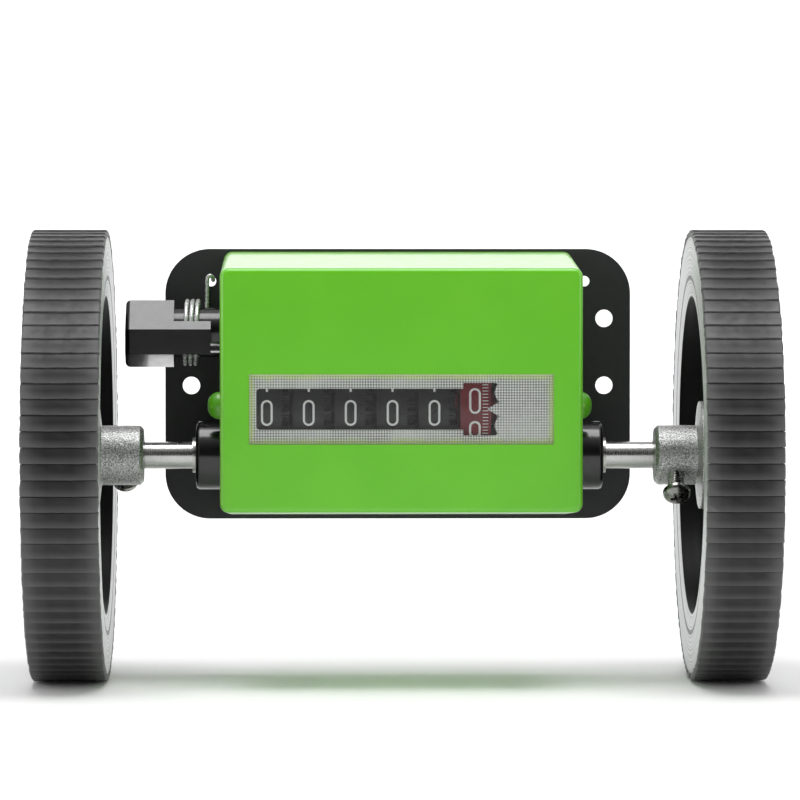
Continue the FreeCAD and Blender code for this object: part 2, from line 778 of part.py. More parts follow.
def make_drive_gear():
    body = turned_part("drive_gear", [
        ("drive_gear_x", "axle_radius"), ("drive_gear_x + gear_width + drive_hub_length", "axle_radius"),
        ("drive_gear_x + gear_width + drive_hub_length", "drive_hub_radius"),
        ("drive_gear_x + gear_width", "drive_hub_radius"),
        ("drive_gear_x + gear_width", root_radius("train_module", "drive_teeth")),
        ("drive_gear_x", root_radius("train_module", "drive_teeth"))])
    add_teeth(body, "drive_gear_x", "gear_width", "train_module", "drive_teeth", "drive_phase")


def make_idler_gear():
    """Large gear that the axle drives, and the small one beside it that drives the counter."""
    body = new_body("idler_gear", {"y": "idler_y", "z": "idler_z"})
    large = root_radius("train_module", "idler_large_teeth")
    small = root_radius("train_module", "idler_small_teeth")
    add_turned(body, [
        ("counter_gear_x", "idler_stud_radius + running_gap"),
        ("drive_gear_x + gear_width", "idler_stud_radius + running_gap"),
        ("drive_gear_x + gear_width", large), ("drive_gear_x", large),
        ("drive_gear_x", "idler_hub_radius"), ("counter_gear_x + gear_width", "idler_hub_radius"),
        ("counter_gear_x + gear_width", small), ("counter_gear_x", small)])
    add_teeth(body, "drive_gear_x", "gear_width", "train_module", "idler_large_teeth",
              "idler_large_phase")
    add_teeth(body, "counter_gear_x", "gear_width", "train_module", "idler_small_teeth",
              "idler_small_phase")


def make_counter_gear():
    place = {"y": "counter_y", "z": "counter_z"}
    root = root_radius("train_module", "counter_teeth")
    body = turned_part("counter_gear", ring_corners(
        "counter_gear_x", "counter_gear_x + gear_width",
        "counter_shaft_radius + running_gap", root), place)
    add_teeth(body, "counter_gear_x", "gear_width", "train_module", "counter_teeth",
              "counter_phase")


def make_idler_stud():
    place = {"y": "idler_y", "z": "idler_z"}
    head_end = "counter_gear_x - running_gap"
    head_start = "counter_gear_x - running_gap - stud_head_height"
    turned_part("idler_stud", [
        (head_start, "0"), ("ear_inner_x + ear_thickness", "0"),
        ("ear_inner_x + ear_thickness", "idler_stud_radius"), (head_end, "idler_stud_radius"),
        (head_end, "stud_head_radius"), (head_start, "stud_head_radius")], place)


# ---------------------------------------------------------------- counter

def number_wheel_corners(centre, hub_end):
    """Drum with an outer rim, a thin web and a hub that spaces it from its neighbours."""
    bore = "counter_shaft_radius + running_gap"
    left = f"{centre} - number_half_width"
    right = f"{centre} + number_half_width"
    inside = "number_radius - number_rim"
    return [
        (f"{centre} - number_hub_half", bore), (hub_end, bore),
        (hub_end, "number_hub_radius"), (right, "number_hub_radius"),
        (right, "number_radius"), (left, "number_radius"), (left, inside),
        (f"{right} - number_web", inside), (f"{right} - number_web", "number_hub_radius"),
        (f"{centre} - number_hub_half", "number_hub_radius")]


def make_number_wheel(index):
    """One black wheel, with the gear that its carry pinion drives on its right side."""
    centre = f"(tenths_x - {BLACK_WHEELS + 1 - index} * number_pitch)"
    place = {"y": "counter_y", "z": "counter_z"}
    body = turned_part(f"number_wheel_{index}",
                       number_wheel_corners(centre, f"{centre} + number_hub_half"), place)
    ring = new_sketch(body, "side", f"{centre} + number_half_width")
    add_circle(ring, "0", "0", root_radius("number_gear_module", "number_gear_teeth"))
    add_circle(ring, "0", "0", "number_hub_radius")
    add_pad(body, ring, "number_gear_width")
    add_teeth(body, f"{centre} + number_half_width", "number_gear_width", "number_gear_module",
              "number_gear_teeth", "number_phase")


def make_tenths_wheel():
    """Red wheel for tenths of a metre, driven directly by the counter gear."""
    place = {"y": "counter_y", "z": "counter_z"}
    turned_part("tenths_wheel", number_wheel_corners("tenths_x", "counter_gear_x"), place)


def make_transfer_pinion(index):
    """Carry pinion between a wheel and the faster wheel on its right."""
    centre = f"(tenths_x - {BLACK_WHEELS + 1 - index} * number_pitch)"
    start = f"{centre} + pinion_offset"
    place = {"y": "pinion_y", "z": "pinion_z"}
    body = turned_part(f"transfer_pinion_{index}", ring_corners(
        start, f"{start} + pinion_width", "pinion_shaft_radius + running_gap",
        root_radius("number_gear_module", "pinion_teeth")), place)
    add_teeth(body, start, "pinion_width", "number_gear_module", "pinion_teeth", "pinion_phase")


def make_counter_shafts():
    """The fixed shafts that the number wheels and the carry pinions turn on."""
    end = "ear_inner_x + ear_thickness"
    turned_part("counter_shaft", ring_corners(f"-({end})", end, "0", "counter_shaft_radius"),
                {"y": "counter_y", "z": "counter_z"})
    turned_part("pinion_shaft", ring_corners(f"-({end})", end, "0", "pinion_shaft_radius"),
                {"y": "pinion_y", "z": "pinion_z"})


# ---------------------------------------------------------------- reset

def make_reset_knob():
    """Faceted knob with a sleeve through the spring and a tongue in front of it."""
    body = new_body("reset_knob", {"y": "reset_y", "z": "reset_z"})
    sketch = new_sketch(body, "side", "-knob_outer_end")
    add_outline(sketch, [
        ("knob_front", "knob_front_bottom"), ("knob_front", "knob_front_top"),
        ("knob_slope_top", "knob_top"), ("knob_back - knob_back_corner", "knob_top"),
        ("knob_back", "knob_top - knob_back_corner"),
        ("knob_back", "knob_bottom + knob_back_corner"),
        ("knob_back - knob_back_corner", "knob_bottom"), ("knob_slope_bottom", "knob_bottom")])
    add_pad(body, sketch, "knob_outer_end - knob_body_end")
    add_fillet(body, "knob_edge", at_station("X", -DRIVING["knob_outer_end"]))
    tongue = new_sketch(body, "side", "-knob_body_end")
    inner = "knob_front + knob_tongue_thickness"
    add_outline(tongue, [
        ("knob_front", "knob_front_bottom"), ("knob_front", "knob_front_top"),
        (inner, "knob_front_top + knob_tongue_thickness"), (inner, "knob_front_bottom")])
    add_pad(body, tongue, "knob_body_end - knob_tongue_end")
    sleeve = new_sketch(body, "side", "-knob_body_end")
    add_circle(sleeve, "0", "0", "knob_sleeve_radius")
    add_pad(body, sleeve, "knob_body_end - knob_sleeve_end")
    bore = new_sketch(body, "side", "-knob_sleeve_end")
    add_circle(bore, "0", "0", "reset_shaft_radius")
    add_pocket(body, bore, "knob_body_end - knob_sleeve_end + 6")


def make_reset_shaft():
    turned_part("reset_shaft", ring_corners(
        "-knob_body_end - 6", "ear_inner_x + ear_thickness", "0", "reset_shaft_radius"),
        {"y": "reset_y", "z": "reset_z"})


def make_reset_comb():
    """Sleeve on the reset shaft with one hammer for each wheel."""
    body = turned_part("reset_comb", ring_corners(
        "comb_left", "comb_right", "reset_shaft_radius", "comb_radius"),
        {"y": "reset_y", "z": "reset_z"})
    last = "tenths_x - hammer_thickness / 2"
    sketch = new_sketch(body, "side", last)
    half = "hammer_width / 2"
    reach = "-(comb_radius - 1)"
    add_outline(sketch, [(f"-{half}", "-hammer_length"), (half, "-hammer_length"),
                         (half, reach), (f"-{half}", reach)])
    hammer = add_pad(body, sketch, "hammer_thickness")
    pattern = body.newObject("PartDesign::LinearPattern", "reset_comb_row")
    pattern.Originals = [hammer]
    for axis in body.Origin.OriginFeatures:
        if axis.Role == "X_Axis":
            pattern.Direction = (axis, [""])
    pattern.Reversed = True
    pattern.Occurrences = BLACK_WHEELS + 1
    bind(pattern, Length=f"{BLACK_WHEELS} * number_pitch")
    body.Tip = pattern
    doc.recompute()


def make_return_spring():
    """Torsion spring: coils round the knob's sleeve and a leg hooked into the plate."""
    radius = cell("spring_radius")
    pitch = cell("spring_pitch")
    bend = cell("spring_leg_bend")
    coil = Part.makeHelix(pitch, pitch * cell("spring_turns"), radius)
    coil.rotate(FreeCAD.Vector(0, 0, 0), FreeCAD.Vector(0, 1, 0), 90)
    coil.translate(FreeCAD.Vector(-cell("spring_start"), 0, 0))
    first = coil.Edges[0]
    last = coil.Edges[-1]
    start = first.valueAt(first.FirstParameter)
    finish = last.valueAt(last.LastParameter)
    start_heading = first.tangentAt(first.FirstParameter)
    up = last.tangentAt(last.LastParameter)
    back = FreeCAD.Vector(0, 1, 0)
    tip = start - start_heading * cell("spring_tail")
    leg_height = cell("hook_hole_z") - cell("reset_z") - bend
    leg_top = finish + up * (leg_height / up.z)
    share = math.sqrt(0.5)
    middle = leg_top + up * bend * share + back * bend * (1 - share)
    hook = leg_top + up * bend + back * bend
    through = cell("plate_front") + cell("plate_thickness") - cell("reset_y")
    path = Part.Wire([
        Part.makeLine(tip, start), *coil.Edges, Part.makeLine(finish, leg_top),
        Part.Arc(leg_top, middle, hook).toShape(),
        Part.makeLine(hook, FreeCAD.Vector(hook.x, through, hook.z))])
    section = Part.Wire(Part.makeCircle(cell("spring_wire_radius"), tip, start_heading))
    spring = doc.addObject("Part::Feature", "return_spring")
    spring.Shape = path.makePipeShell([section], True, True)
    spring.Placement.Base = FreeCAD.Vector(0, cell("reset_y"), cell("reset_z"))
    keep(spring, "return_spring")


def check_and_export():
    """Every feature must have worked and every sub-part must be sound, then all are written."""
    doc.recompute()
    for item in doc.Objects:
        if "Invalid" in item.State or "Error" in item.State:
            raise RuntimeError(f"{item.Name} failed: {item.State}")
    os.makedirs("parts", exist_ok=True)
    for item in PARTS:
        if item.Shape.isNull() or not item.Shape.isValid():
            raise RuntimeError(f"{item.Label} has no valid shape")
        item.Shape.exportStep(f"parts/{item.Label}.step")


make_base_plate()
make_frame_rivets()
make_cover()
make_cover_screws()
make_window_lens()
make_window_mask()
make_axle_shaft()
for name, direction_sign in (("left", -1), ("right", 1)):
    make_side_frame(name, direction_sign)
    make_bearing(name, direction_sign)
    make_rim(name, direction_sign)
    make_tyre(name, direction_sign)
    make_hub(name, direction_sign)
    make_set_screw(name, direction_sign)
make_drive_gear()
make_idler_gear()
make_counter_gear()
make_idler_stud()
make_counter_shafts()
make_tenths_wheel()
for number in range(1, BLACK_WHEELS + 1):
    make_number_wheel(number)
    make_transfer_pinion(number)
make_reset_knob()
make_reset_shaft()
make_reset_comb()
make_return_spring()
check_and_export()
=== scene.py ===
import json
import math
import random

import bmesh
import bpy
from mathutils import Matrix, Vector


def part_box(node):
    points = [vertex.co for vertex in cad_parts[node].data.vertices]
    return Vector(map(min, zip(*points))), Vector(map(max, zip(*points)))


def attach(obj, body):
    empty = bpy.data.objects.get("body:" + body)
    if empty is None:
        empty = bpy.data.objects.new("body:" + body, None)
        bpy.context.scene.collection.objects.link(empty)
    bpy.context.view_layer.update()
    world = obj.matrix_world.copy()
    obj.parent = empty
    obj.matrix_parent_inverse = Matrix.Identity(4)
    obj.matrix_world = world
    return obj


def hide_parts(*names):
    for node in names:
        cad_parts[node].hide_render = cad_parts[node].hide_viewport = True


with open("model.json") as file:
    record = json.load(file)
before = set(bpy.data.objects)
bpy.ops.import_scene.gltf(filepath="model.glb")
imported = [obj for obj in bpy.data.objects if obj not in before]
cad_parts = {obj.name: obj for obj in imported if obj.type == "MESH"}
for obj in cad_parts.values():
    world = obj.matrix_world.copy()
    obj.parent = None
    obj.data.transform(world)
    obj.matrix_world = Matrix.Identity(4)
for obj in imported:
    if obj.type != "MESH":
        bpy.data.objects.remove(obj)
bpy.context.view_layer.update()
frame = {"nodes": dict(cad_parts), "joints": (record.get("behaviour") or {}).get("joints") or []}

# Sizes are in millimetres, and MM turns them into the frame's metres. The floor, the lights
# and the camera are placed in metres.
MM = 0.001
SIDES = (("left", -1), ("right", 1))
AXLE_RADIUS = 3.2
BLACK_WHEELS = 5
JOINTS = {joint["name"]: joint for joint in frame["joints"]}


def span(node, axis):
    """Lowest and highest coordinate of a CAD node along one axis."""
    low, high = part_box(node)
    return low["xyz".index(axis)] / MM, high["xyz".index(axis)] / MM


def joint_centre(joint):
    """Where a joint's axis crosses the YZ plane."""
    place = JOINTS[joint]["pos_m"]
    return place[1] / MM, place[2] / MM


# ------------------------------------------------------------------ materials

class Finish:
    """A material under construction: a principled surface and the nodes that feed it."""

    def __init__(self, name):
        self.material = bpy.data.materials.new(name)
        self.material.use_nodes = True
        self.tree = self.material.node_tree
        self.surface = self.tree.nodes["Principled BSDF"]
        self.output = self.tree.nodes["Material Output"]
        self.place = self.add("ShaderNodeTexCoord").outputs["Object"]

    def add(self, kind, inputs=None, **settings):
        """Add a node; inputs are numbers, colours or sockets of other nodes."""
        node = self.tree.nodes.new(kind)
        for name, value in settings.items():
            setattr(node, name, value)
        for key, value in (inputs or {}).items():
            self.feed(node.inputs[key], value)
        return node

    def feed(self, socket, value):
        if isinstance(value, bpy.types.NodeSocket):
            self.tree.links.new(value, socket)
        else:
            socket.default_value = value

    def set(self, **inputs):
        """Set or link inputs of the principled surface, with _ for a space in their names."""
        for name, value in inputs.items():
            self.feed(self.surface.inputs[name.replace("_", " ")], value)

    def noise(self, size_mm, detail=3.0, stretch=(1, 1, 1)):
        """Noise whose features are about size_mm across, stretched along the axes."""
        scale = tuple(1 / (size_mm * MM * s) for s in stretch)
        mapped = self.add("ShaderNodeMapping", {"Vector": self.place, "Scale": scale})
        texture = self.add("ShaderNodeTexNoise", {"Vector": mapped.outputs[0], "Scale": 1.0,
                                                  "Detail": detail})
        return texture.outputs["Fac"]

    def math(self, operation, first, second=0.0, clamp=False):
        return self.add("ShaderNodeMath", {0: first, 1: second}, operation=operation,
                        use_clamp=clamp).outputs[0]

    def remap(self, value, low, high, to_low=0.0, to_high=1.0):
        node = self.add("ShaderNodeMapRange", {"Value": value, "From Min": low, "From Max": high,
                                               "To Min": to_low, "To Max": to_high})
        return node.outputs[0]

    def mix(self, factor, first, second):
        """Mix two colours."""
        node = self.add("ShaderNodeMix", data_type="RGBA")
        self.feed(node.inputs["Factor"], factor)
        self.feed(node.inputs[6], first)
        self.feed(node.inputs[7], second)
        return node.outputs[2]

    def bump(self, height, depth_mm, strength=1.0):
        node = self.add("ShaderNodeBump", {"Height": height, "Distance": depth_mm * MM,
                                           "Strength": strength})
        self.set(Normal=node.outputs[0])
        return node.outputs[0]

    def edges(self, low=0.51, high=0.6):
        """Goes to 1 on outside edges, where the callers lighten the colour; on the cover and the
        tyre bars that is a painted highlight.
        """
        pointiness = self.add("ShaderNodeNewGeometry").outputs["Pointiness"]
        return self.remap(pointiness, low, high)

    def radius(self):
        """Distance from the axle's axis, in millimetres."""
        split = self.add("ShaderNodeSeparateXYZ", {"Vector": self.place})
        y_squared = self.math("POWER", self.math("ABSOLUTE", split.outputs["Y"]), 2.0)
        z_squared = self.math("POWER", self.math("ABSOLUTE", split.outputs["Z"]), 2.0)
        distance = self.math("SQRT", self.math("ADD", y_squared, z_squared))
        return self.math("DIVIDE", distance, MM)


def shade(red, green, blue):
    """A colour given as screen values from 0 to 255, as the linear value that nodes use."""
    return tuple(((value / 255 + 0.055) / 1.055) ** 2.4 for value in (red, green, blue)) + (1.0,)


def green_paint():
    finish = Finish("green_paint")
    patchy = finish.noise(14, 2)
    colour = finish.mix(patchy, shade(94, 190, 22), shade(106, 198, 30))
    # Lighter green on the outside edges: a painted highlight along the rounded edges, with some
    # wear.
    finish.set(Base_Color=finish.mix(finish.edges(), colour, shade(140, 215, 80)),
               Roughness=finish.remap(finish.noise(3), 0.3, 0.7, 0.28, 0.36),
               Coat_Weight=0.5, Coat_Roughness=0.12)
    finish.bump(finish.noise(1.6, 2), 0.01, 0.4)
    return finish.material


def black_satin():
    finish = Finish("black_satin")
    colour = finish.mix(finish.noise(20, 3), shade(18, 18, 19), shade(27, 27, 28))
    finish.set(Base_Color=finish.mix(finish.edges(), colour, shade(52, 52, 54)),
               Roughness=finish.remap(finish.noise(2), 0.3, 0.7, 0.42, 0.55),
               Specular_IOR_Level=0.35)
    finish.bump(finish.noise(0.35, 3), 0.015, 0.6)
    return finish.material


def black_gloss():
    finish = Finish("black_gloss")
    finish.set(Base_Color=finish.mix(finish.noise(6, 2), shade(14, 14, 15), shade(22, 22, 23)),
               Roughness=finish.remap(finish.noise(1.5), 0.3, 0.7, 0.16, 0.26),
               Coat_Weight=0.4, Coat_Roughness=0.08)
    finish.bump(finish.noise(2.5, 2), 0.02, 0.4)
    return finish.material


def tyre_rubber():
    finish = Finish("tyre_rubber")
    streaks = finish.noise(1.2, 4, (6, 1, 1))
    colour = finish.mix(streaks, shade(13, 13, 14), shade(28, 28, 29))
    # Lighter grey on the outside edges: a painted highlight where the bar edges catch the light.
    highlit_edges = finish.mix(finish.edges(0.52, 0.6), colour, shade(96, 96, 96))
    finish.set(Base_Color=highlit_edges, Roughness=finish.remap(finish.noise(2, 3), 0.3, 0.7, 0.42, 0.55),
               Specular_IOR_Level=0.4)
    finish.bump(finish.math("ADD", streaks, finish.noise(0.3, 3)), 0.03, 0.7)
    return finish.material


RIM_PAINT = 37.4
RIM_LINE = 41.8


def turned_and_painted_rim():
    """Bright turned land and bevel, with black paint in the recess."""
    finish = Finish("rim_metal_and_paint")
    radius = finish.radius()
    wobble = finish.math("MULTIPLY", finish.noise(1.5), 0.1)
    edge = finish.math("ADD", radius, wobble)
    bare = finish.remap(edge, RIM_PAINT, RIM_PAINT + 0.1)
    rings = finish.add("ShaderNodeTexNoise", {"W": finish.math("MULTIPLY", radius, 3.0),
                                              "Scale": 1.0, "Detail": 4.0},
                       noise_dimensions="1D").outputs["Fac"]
    # A dark ring where the turned land meets the bevel: painted shade of the step.
    step_shade = finish.remap(finish.math("ABSOLUTE", finish.math("SUBTRACT", radius, RIM_LINE)),
                        0.4, 0.7)
    turned_face = finish.mix(finish.remap(rings, 0.35, 0.65), shade(150, 151, 153),
                             shade(236, 237, 238))
    metal = finish.mix(step_shade, shade(90, 90, 92), turned_face)
    paint = finish.mix(finish.noise(5), shade(12, 12, 13), shade(20, 20, 21))
    finish.set(Base_Color=finish.mix(bare, paint, metal),
               Metallic=finish.math("MULTIPLY", bare, 0.75),
               Specular_IOR_Level=finish.remap(bare, 0.0, 1.0, 0.12, 0.5),
               Roughness=finish.remap(rings, 0.3, 0.7, 0.38, 0.5))
    finish.bump(finish.math("ADD", finish.math("MULTIPLY", rings, bare), finish.noise(0.4)),
                0.02, 0.6)
    return finish.material


def sand_cast():
    finish = Finish("sand_cast_metal")
    grain = finish.noise(0.3, 2)
    speckle = finish.remap(grain, 0.35, 0.65)
    finish.set(Base_Color=finish.mix(speckle, shade(120, 120, 120), shade(228, 228, 228)),
               Metallic=0.9, Roughness=finish.remap(grain, 0.3, 0.7, 0.34, 0.5))
    finish.bump(finish.math("ADD", grain, finish.noise(0.9, 2)), 0.14, 0.9)
    return finish.material


def ground_steel():
    finish = Finish("ground_steel")
    lines = finish.noise(0.25, 3, (0.5, 6, 6))
    finish.set(Base_Color=finish.mix(finish.noise(6), shade(176, 176, 176), shade(206, 205, 203)),
               Metallic=1.0, Roughness=finish.remap(lines, 0.3, 0.7, 0.16, 0.3))
    finish.bump(lines, 0.004, 0.5)
    return finish.material


def plated_steel(name, dark, light, metallic=1.0):
    finish = Finish(name)
    finish.set(Base_Color=finish.mix(finish.noise(1.2), shade(*dark), shade(*light)),
               Metallic=metallic, Roughness=finish.remap(finish.noise(0.6), 0.3, 0.7, 0.18, 0.34))
    finish.bump(finish.noise(0.5), 0.008, 0.5)
    return finish.material


def plain_plastic(name, dark, light, roughness=0.45, painted_glow=0.0):
    finish = Finish(name)
    colour = finish.mix(finish.noise(3, 3), shade(*dark), shade(*light))
    # The colour also gives off light at painted_glow strength: a painted glow.
    finish.set(Base_Color=colour, Emission_Color=colour, Emission_Strength=painted_glow,
               Roughness=finish.remap(finish.noise(1), 0.3, 0.7, roughness, roughness + 0.1))
    finish.bump(finish.noise(0.6), 0.01, 0.5)
    return finish.material


def clear_plastic():
    """Clear where looked through, with a reflection that grows towards grazing angles."""
    finish = Finish("clear_plastic")
    finish.set(Base_Color=finish.mix(finish.noise(8), shade(235, 238, 235), shade(245, 247, 245)),
               Roughness=0.06, Alpha=0.06)
    finish.bump(finish.noise(6, 2), 0.01, 0.3)
    clear = finish.add("ShaderNodeBsdfTransparent", {"Color": (0.99, 0.995, 0.99, 1.0)})
    gloss = finish.add("ShaderNodeBsdfGlossy", {"Roughness": 0.05})
    facing = finish.add("ShaderNodeFresnel", {"IOR": 1.45}).outputs[0]
    both = finish.add("ShaderNodeMixShader", {0: facing, 1: clear.outputs[0],
                                              2: gloss.outputs[0]})
    finish.tree.links.new(both.outputs[0], finish.output.inputs["Surface"])
    return finish.material


WEAVE_PITCH = 0.62


def woven_silver(half_length, low_z, high_z):
    """Silver film with a fine woven relief that greens towards the window's edges, with painted
    sheen patches and a faint painted glow.
    """
    finish = Finish("woven_silver")
    split = finish.add("ShaderNodeSeparateXYZ", {"Vector": finish.place})
    turn = 2 * math.pi / (WEAVE_PITCH * MM)
    across = finish.math("SINE", finish.math("MULTIPLY", split.outputs["X"], turn))
    up = finish.math("SINE", finish.math("MULTIPLY", split.outputs["Z"], turn))
    weave = finish.remap(finish.math("ADD", across, up), -1.1, 1.2)
    silver = finish.mix(weave, shade(132, 138, 132), shade(255, 255, 255))
    # Soft lighter patches: a painted sheen on the film.
    painted_sheen = finish.mix(finish.remap(finish.noise(9, 2), 0.45, 0.95), silver,
                       shade(238, 242, 238))
    from_side = finish.math("SUBTRACT", half_length * MM,
                            finish.math("ABSOLUTE", split.outputs["X"]))
    from_low = finish.math("SUBTRACT", split.outputs["Z"], low_z * MM)
    from_high = finish.math("SUBTRACT", high_z * MM, split.outputs["Z"])
    inside = finish.math("MINIMUM", from_side, finish.math("MINIMUM", from_low, from_high))
    ragged = finish.math("ADD", finish.math("DIVIDE", inside, MM),
                         finish.math("MULTIPLY", finish.noise(3.5, 4), 1.6))
    film = finish.remap(ragged, 1.1, 2.5)
    tint = finish.mix(finish.noise(6), shade(150, 205, 60), shade(214, 226, 120))
    edge = finish.mix(weave, tint, shade(240, 248, 220))
    colour = finish.mix(film, edge, painted_sheen)
    # Emission makes the film glow faintly: painted light that brightens it behind the lens.
    finish.set(Base_Color=colour, Emission_Color=colour, Emission_Strength=0.2,
               Roughness=finish.remap(weave, 0, 1, 0.55, 0.35))
    finish.bump(weave, 0.04, 0.8)
    return finish.material


# ------------------------------------------------------------------ mesh building

BOX_FACES = [(0, 1, 2, 3), (4, 5, 6, 7), (0, 1, 5, 4), (1, 2, 6, 5), (2, 3, 7, 6), (3, 0, 4, 7)]


def finish_piece(piece, material, body, stands_for=(), sharp=35):
    """Give a piece its material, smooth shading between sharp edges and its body."""
    piece.data.materials.clear()
    piece.data.materials.append(material)
    for face in piece.data.polygons:
        face.use_smooth = True
    piece.data.set_sharp_from_angle(angle=math.radians(sharp))
    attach(piece, body)
    if stands_for:
        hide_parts(*stands_for)


def new_object(name, points, faces):
    """A mesh object from points in millimetres, with doubled points merged."""
    mesh = bpy.data.meshes.new(name)
    shape = bmesh.new()
    corners = [shape.verts.new(Vector(point) * MM) for point in points]
    for face in faces:
        shape.faces.new([corners[i] for i in face])
    bmesh.ops.remove_doubles(shape, verts=shape.verts, dist=0.001 * MM)
    bmesh.ops.recalc_face_normals(shape, faces=shape.faces)
    shape.to_mesh(mesh)
    shape.free()
    piece = bpy.data.objects.new(name, mesh)
    bpy.context.scene.collection.objects.link(piece)
    return piece


def rounded(corners, steps=4):
    """A closed outline through (across, up, rounding) corners, each rounded off."""
    points = []
    for i, (across, up, soft) in enumerate(corners):
        here = Vector((across, up))
        if soft == 0:
            points.append(here)
            continue
        before = (Vector(corners[i - 1][:2]) - here).normalized()
        after = (Vector(corners[(i + 1) % len(corners)][:2]) - here).normalized()
        reach = soft / math.tan(before.angle(after) / 2)
        for k in range(steps + 1):
            t = k / steps
            start = here + before * reach
            end = here + after * reach
            points.append(start * (1 - t) ** 2 + here * 2 * t * (1 - t) + end * t**2)
    return points


def grid_faces(rows, columns, wrap_rows, wrap_columns):
    """Quads over a grid of points that may close on itself either way."""
    faces = []
    for i in range(rows if wrap_rows else rows - 1):
        for j in range(columns if wrap_columns else columns - 1):
            a = i * columns + j
            b = i * columns + (j + 1) % columns
            c = ((i + 1) % rows) * columns + (j + 1) % columns
            d = ((i + 1) % rows) * columns + j
            faces.append((a, b, c, d))
    return faces


def turned(name, corners, centre=(0.0, 0.0), steps=160):
    """A turned solid about an axis along X, from rounded (along, radius, rounding) corners."""
    outline = rounded(corners)
    points = []
    for i in range(steps):
        angle = 2 * math.pi * i / steps
        for along, radius in outline:
            points.append((along, centre[0] + radius * math.cos(angle),
                           centre[1] + radius * math.sin(angle)))
    faces = grid_faces(steps, len(outline), True, True)
    piece = new_object(name, points, faces)
    drop_collapsed(piece)
    return piece


def drop_collapsed(piece):
    """Remove faces that lost their area when points on the axis merged."""
    shape = bmesh.new()
    shape.from_mesh(piece.data)
    bmesh.ops.dissolve_degenerate(shape, edges=shape.edges, dist=0.0005 * MM)
    inner = [edge for edge in shape.edges if not edge.link_faces]
    bmesh.ops.delete(shape, geom=inner, context="EDGES")
    shape.to_mesh(piece.data)
    shape.free()


def mirrored(sign, corners):
    """Corners for the right side, or mirrored for the left."""
    return [(sign * along, radius, soft) for along, radius, soft in corners]


def soften_edges(piece, width, angle=40):
    """Round a CAD node's sharp edges."""
    bevel = piece.modifiers.new("soft_edges", "BEVEL")
    bevel.width = width * MM
    bevel.segments = 3
    bevel.limit_method = "ANGLE"
    bevel.angle_limit = math.radians(angle)
    bevel.harden_normals = True


def paint(node, material):
    """Give a CAD node that stays its material."""
    piece = frame["nodes"][node]
    piece.data.materials.clear()
    piece.data.materials.append(material)
    return piece


# ------------------------------------------------------------------ wheels

TREAD_BARS = 90
GROOVE_DEPTH = 0.5
BAR_STEP = 0.3
BAR_EDGE = 0.12
BAR_UNEVEN = 0.06
SIDE_LIP = 0.2
LIP_RAGGED = 0.2
SHOULDER_WIDTH = 0.35
SHOULDER_DROP = 0.4
RUBBER_OVERLAP = 0.3


def make_tyre(side, material, highlight_material):
    """Rubber band with cross bars, whose ends make a notched edge on both sides."""
    low, high = span(f"{side}_tyre", "x")
    top = span(f"{side}_tyre", "z")[1]
    seat = span(f"{side}_rim", "z")[1]
    pitch = 2 * math.pi * top / TREAD_BARS
    uneven = random.Random(side)
    across_steps = 7
    points = []
    for bar in range(TREAD_BARS):
        lift = uneven.uniform(-BAR_UNEVEN, 0.0)
        # Each station is (distance along the bar's pitch, height, how far its ends draw in).
        stations = [
            (0.0, -GROOVE_DEPTH, 0.6), (0.1, -GROOVE_DEPTH, 0.5),
            (0.14, lift - BAR_STEP - 0.06, 0.12), (0.3, lift - BAR_STEP, 0.03),
            (pitch / 2, lift - BAR_STEP / 2, 0.0), (pitch - BAR_EDGE, lift, 0.03),
            (pitch - 0.04, lift - BAR_EDGE, 0.12)]
        for along, height, inset in stations:
            angle = (bar * pitch + along) / top
            radius = top + height
            ragged = uneven.uniform(0.0, LIP_RAGGED)
            left = low - SIDE_LIP + inset + ragged
            right = high + SIDE_LIP - inset - ragged
            flat = right - left - 2 * SHOULDER_WIDTH
            row = [(left, seat - RUBBER_OVERLAP), (left, radius - SHOULDER_DROP)]
            for k in range(across_steps):
                share = k / (across_steps - 1)
                wave = uneven.uniform(-0.015, 0.015)
                row.append((left + SHOULDER_WIDTH + flat * share, radius + wave))
            row += [(right, radius - SHOULDER_DROP), (right, seat - RUBBER_OVERLAP)]
            for x, r in row:
                points.append((x, r * math.cos(angle), r * math.sin(angle)))
    columns = across_steps + 4
    rows = len(points) // columns
    piece = new_object(f"{side}_tread", points, grid_faces(rows, columns, True, True))
    finish_piece(piece, material, "axle", [f"{side}_tyre"], 30)
    # Faces along each bar's edge get the lighter second material: a painted highlight where the
    # edge catches the light.
    piece.data.materials.append(highlight_material)
    for face in piece.data.polygons:
        along = math.atan2(face.center.z, face.center.y) * top / pitch % 1.0
        if along > 1 - BAR_EDGE / pitch:
            face.material_index = 1


LAND_WIDTH = 9.9
RECESS_EDGE = 14.4
RECESS_TAPER = 0.8
RIM_CHAMFER = 0.5
RIM_BEVEL = 0.4
WEB_NEAR = 5.6
WEB_FAR = 9.6
NECK_RADIUS = 7.0
NECK_CHAMFER = 0.8
FLANGE_FACE = 9.9
FLANGE_CONE = 0.7
FLANGE_BACK = 14.0


def make_rim(side, sign, material):
    """Deep cast rim with a bevelled recess on both faces."""
    near, far = sorted(abs(x) for x in span(f"{side}_rim", "x"))
    seat = span(f"{side}_rim", "z")[1]
    land = seat - LAND_WIDTH
    bevel = seat - RECESS_EDGE
    wall = bevel - RECESS_TAPER
    chamfer = seat - RIM_CHAMFER
    web_near = near + WEB_NEAR
    web_far = near + WEB_FAR
    corners = [
        (near, land, 0.3), (near, chamfer, 0.2), (near + RIM_CHAMFER, seat, 0.2),
        (far - RIM_CHAMFER, seat, 0.2), (far, chamfer, 0.2), (far, land, 0.3),
        (far - RIM_BEVEL, bevel, 0.15), (web_far, wall, 1.0), (web_far, NECK_RADIUS, 0),
        (web_near, NECK_RADIUS, 0), (web_near, wall, 1.0), (near + RIM_BEVEL, bevel, 0.15)]
    piece = turned(f"{side}_wheel_casting", mirrored(sign, corners), steps=240)
    finish_piece(piece, material, "axle", [f"{side}_rim"])


